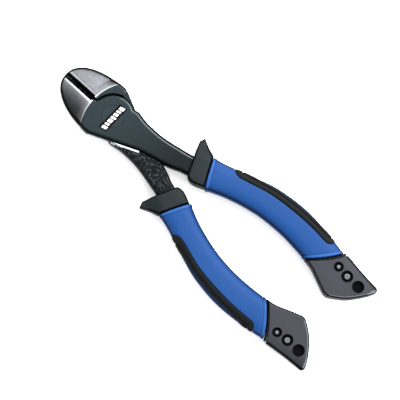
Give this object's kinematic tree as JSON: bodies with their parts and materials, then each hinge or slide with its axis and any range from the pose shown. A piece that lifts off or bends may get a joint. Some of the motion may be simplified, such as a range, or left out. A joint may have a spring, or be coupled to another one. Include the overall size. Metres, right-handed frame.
{
  "type": "diagonal cutting pliers",
  "caption": "High-leverage diagonal cutting pliers: lapped forged halves on a flush rivet, with moulded two-colour grips, thumb guards and end caps.",
  "frame": {"origin": "on the pivot axis, at the joint's back face", "axes": "+X along the handles away from the jaws, +Y towards the front half's handle, +Z out of the joint's front face; handles closed"},
  "size_m": [0.1991, 0.0692, 0.0156],
  "materials": {
    "forged_steel": "dark satin forging with bright ground jaw faces and worn edges",
    "rivet_steel": "ground flush, dark satin",
    "guard_plastic": "matte, finely grained",
    "core_plastic": "plain moulded, hidden",
    "sleeve_rubber": "soft satin, blue",
    "pad_rubber": "soft matte, near black",
    "cap_plastic": "finely grained dark grey"
  },
  "bodies": {
    "front_half": {"front_lever": "forged_steel", "pivot_rivet": "rivet_steel", "front_thumb_guard": "guard_plastic", "front_grip_core": "core_plastic", "front_grip_sleeve": "sleeve_rubber", "front_grip_pad": "pad_rubber", "front_end_cap": "cap_plastic"},
    "rear_half": {"rear_lever": "forged_steel", "rear_thumb_guard": "guard_plastic", "rear_grip_core": "core_plastic", "rear_grip_sleeve": "sleeve_rubber", "rear_grip_pad": "pad_rubber", "rear_end_cap": "cap_plastic"}
  },
  "joints": [
    {"name": "jaw_pivot", "type": "hinge", "parent": "front_half", "child": "rear_half", "pos_m": [0, 0, 0.006], "axis": [0, 0, -1], "range_deg": [0, 30]}
  ]
}
